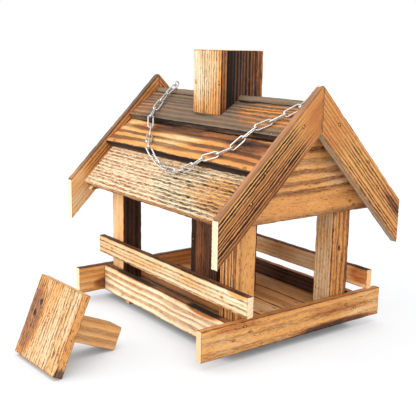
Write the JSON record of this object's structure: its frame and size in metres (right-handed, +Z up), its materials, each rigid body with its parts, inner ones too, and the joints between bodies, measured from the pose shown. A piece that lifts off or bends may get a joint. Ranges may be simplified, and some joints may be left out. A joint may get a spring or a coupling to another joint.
{
  "type": "bird_feeder",
  "caption": "House-shaped bird feeder of torched pine boards: tray floor, four posts, lapped roof, chimney seed hopper with a loose cap, and a hanging chain.",
  "frame": {"origin": "on the ground, under the middle of the house", "axes": "+X along the ridge to the near gable, -Y the front long side, +Z up"},
  "size_m": [0.35, 0.4455, 0.353],
  "materials": {
    "floor_board": "torched pine",
    "batten": "torched pine",
    "rim": "torched pine",
    "post": "torched pine",
    "rail": "torched pine",
    "gable": "torched pine",
    "roof_plank": "torched pine, brushed",
    "barge": "torched pine",
    "chimney": "torched pine",
    "cap": "light pine, edges torched",
    "steel": "zinc plated, bright",
    "brass": "bare brass"
  },
  "bodies": {
    "house": {"floor_board_1": "floor_board", "floor_board_2": "floor_board", "floor_board_3": "floor_board", "floor_board_4": "floor_board", "floor_board_5": "floor_board", "batten_far": "batten", "batten_near": "batten", "front_rim": "rim", "back_rim": "rim", "far_end_rim": "rim", "near_end_rim": "rim", "post_front_far": "post", "post_front_near": "post", "post_back_far": "post", "post_back_near": "post", "front_rail": "rail", "back_rail": "rail", "far_gable": "gable", "near_gable": "gable", "front_eave_plank": "roof_plank", "front_middle_plank": "roof_plank", "front_ridge_plank": "roof_plank", "back_eave_plank": "roof_plank", "back_middle_plank": "roof_plank", "back_ridge_plank": "roof_plank", "barge_front_far": "barge", "barge_front_near": "barge", "barge_back_far": "barge", "barge_back_near": "barge", "chimney_front": "chimney", "chimney_back": "chimney", "chimney_cheek_far": "chimney", "chimney_cheek_near": "chimney", "eye_screw_far": "steel", "eye_screw_near": "steel", "rim_brads": "brass", "rail_brads": "brass", "gable_brads": "brass", "barge_brads": "brass", "roof_brads": "brass", "chimney_brads": "brass", "floor_brads": "brass"},
    "chain": {"chain_links": "steel"},
    "cap": {"cap_plate": "cap", "cap_plug": "cap", "cap_brads": "brass"}
  },
  "joints": [
    {"name": "chain_swing", "type": "hinge", "parent": "house", "child": "chain", "pos_m": [0.02, 0, 0.3039], "axis": [-1, 0, 0], "range_deg": [0, 250]},
    {"name": "cap_lift", "type": "slide", "parent": "house", "child": "cap", "axis": [0, 0, 1], "range_m": [0, 0.15]}
  ]
}
